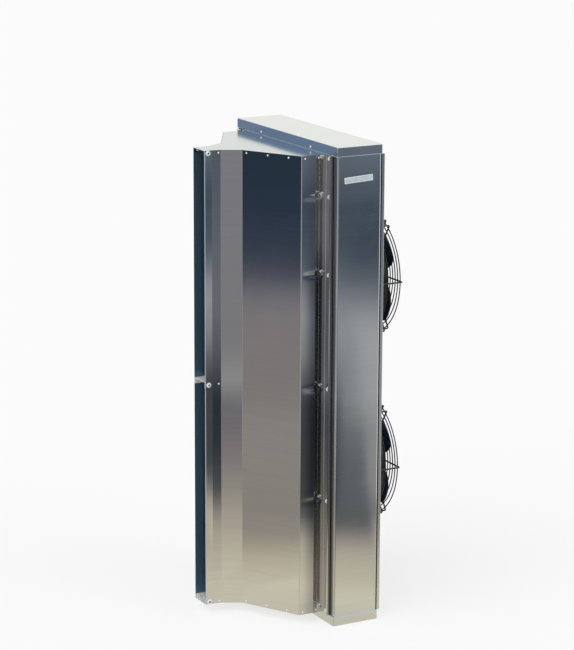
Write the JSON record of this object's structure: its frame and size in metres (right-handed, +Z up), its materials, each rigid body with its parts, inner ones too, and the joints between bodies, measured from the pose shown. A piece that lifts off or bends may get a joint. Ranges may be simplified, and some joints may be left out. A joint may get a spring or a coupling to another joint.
{
  "type": "air curtain",
  "caption": "Free-standing sheet-metal air curtain that draws air in through guarded axial fans on its back and blows it out of a tall narrow nozzle.",
  "frame": {"origin": "middle of the casing's underside, on the surface it stands on", "axes": "+Z up along the casing; air leaves the nozzle towards -Y and the fans are on the +Y side; +X is the side with the small plate"},
  "size_m": [0.876, 0.804, 2],
  "materials": {
    "sheet": "bright brushed sheet steel, folded and bolted",
    "bolt": "zinc plated hexagon bolts and washers",
    "wire": "black powder-coated welded wire",
    "blade": "blue-black satin paint on pressed steel",
    "motor": "black painted motor body",
    "plastic": "dark grey moulded plastic",
    "plate": "bare satin plate"
  },
  "bodies": {
    "casing": {"bottom_cap": "sheet", "cable_gland": "plastic", "centre_brace": "sheet", "fan_plate": "sheet", "flange_bolt_left_1": "bolt", "flange_bolt_left_2": "bolt", "flange_bolt_left_3": "bolt", "flange_bolt_left_4": "bolt", "flange_bolt_left_5": "bolt", "flange_bolt_left_6": "bolt", "flange_bolt_right_1": "bolt", "flange_bolt_right_2": "bolt", "flange_bolt_right_3": "bolt", "flange_bolt_right_4": "bolt", "flange_bolt_right_5": "bolt", "flange_bolt_right_6": "bolt", "guard_lower": "wire", "guard_upper": "wire", "inlet_ring_lower": "sheet", "inlet_ring_upper": "sheet", "junction_box": "plastic", "junction_box_lid": "plastic", "motor_stator_lower": "motor", "motor_stator_upper": "motor", "nozzle_bottom_plate": "sheet", "nozzle_top_plate": "sheet", "nozzle_wall_left": "sheet", "nozzle_wall_right": "sheet", "outlet_bolt_left_bottom": "bolt", "outlet_bolt_left_middle": "bolt", "outlet_bolt_left_top": "bolt", "outlet_bolt_right_bottom": "bolt", "outlet_bolt_right_middle": "bolt", "outlet_bolt_right_top": "bolt", "outlet_spacer": "sheet", "side_panel_left": "sheet", "side_panel_right": "sheet", "side_plate": "plate", "top_cap": "sheet"},
    "upper_fan": {"fan_rotor_upper": "blade"},
    "lower_fan": {"fan_rotor_lower": "blade"}
  },
  "joints": [
    {"name": "upper_fan_spin", "type": "hinge", "parent": "casing", "child": "upper_fan", "pos_m": [0, 0.2, 1.384], "axis": [0, 1, 0], "continuous": true},
    {"name": "lower_fan_spin", "type": "hinge", "parent": "casing", "child": "lower_fan", "pos_m": [0, 0.2, 0.587], "axis": [0, 1, 0], "continuous": true}
  ]
}
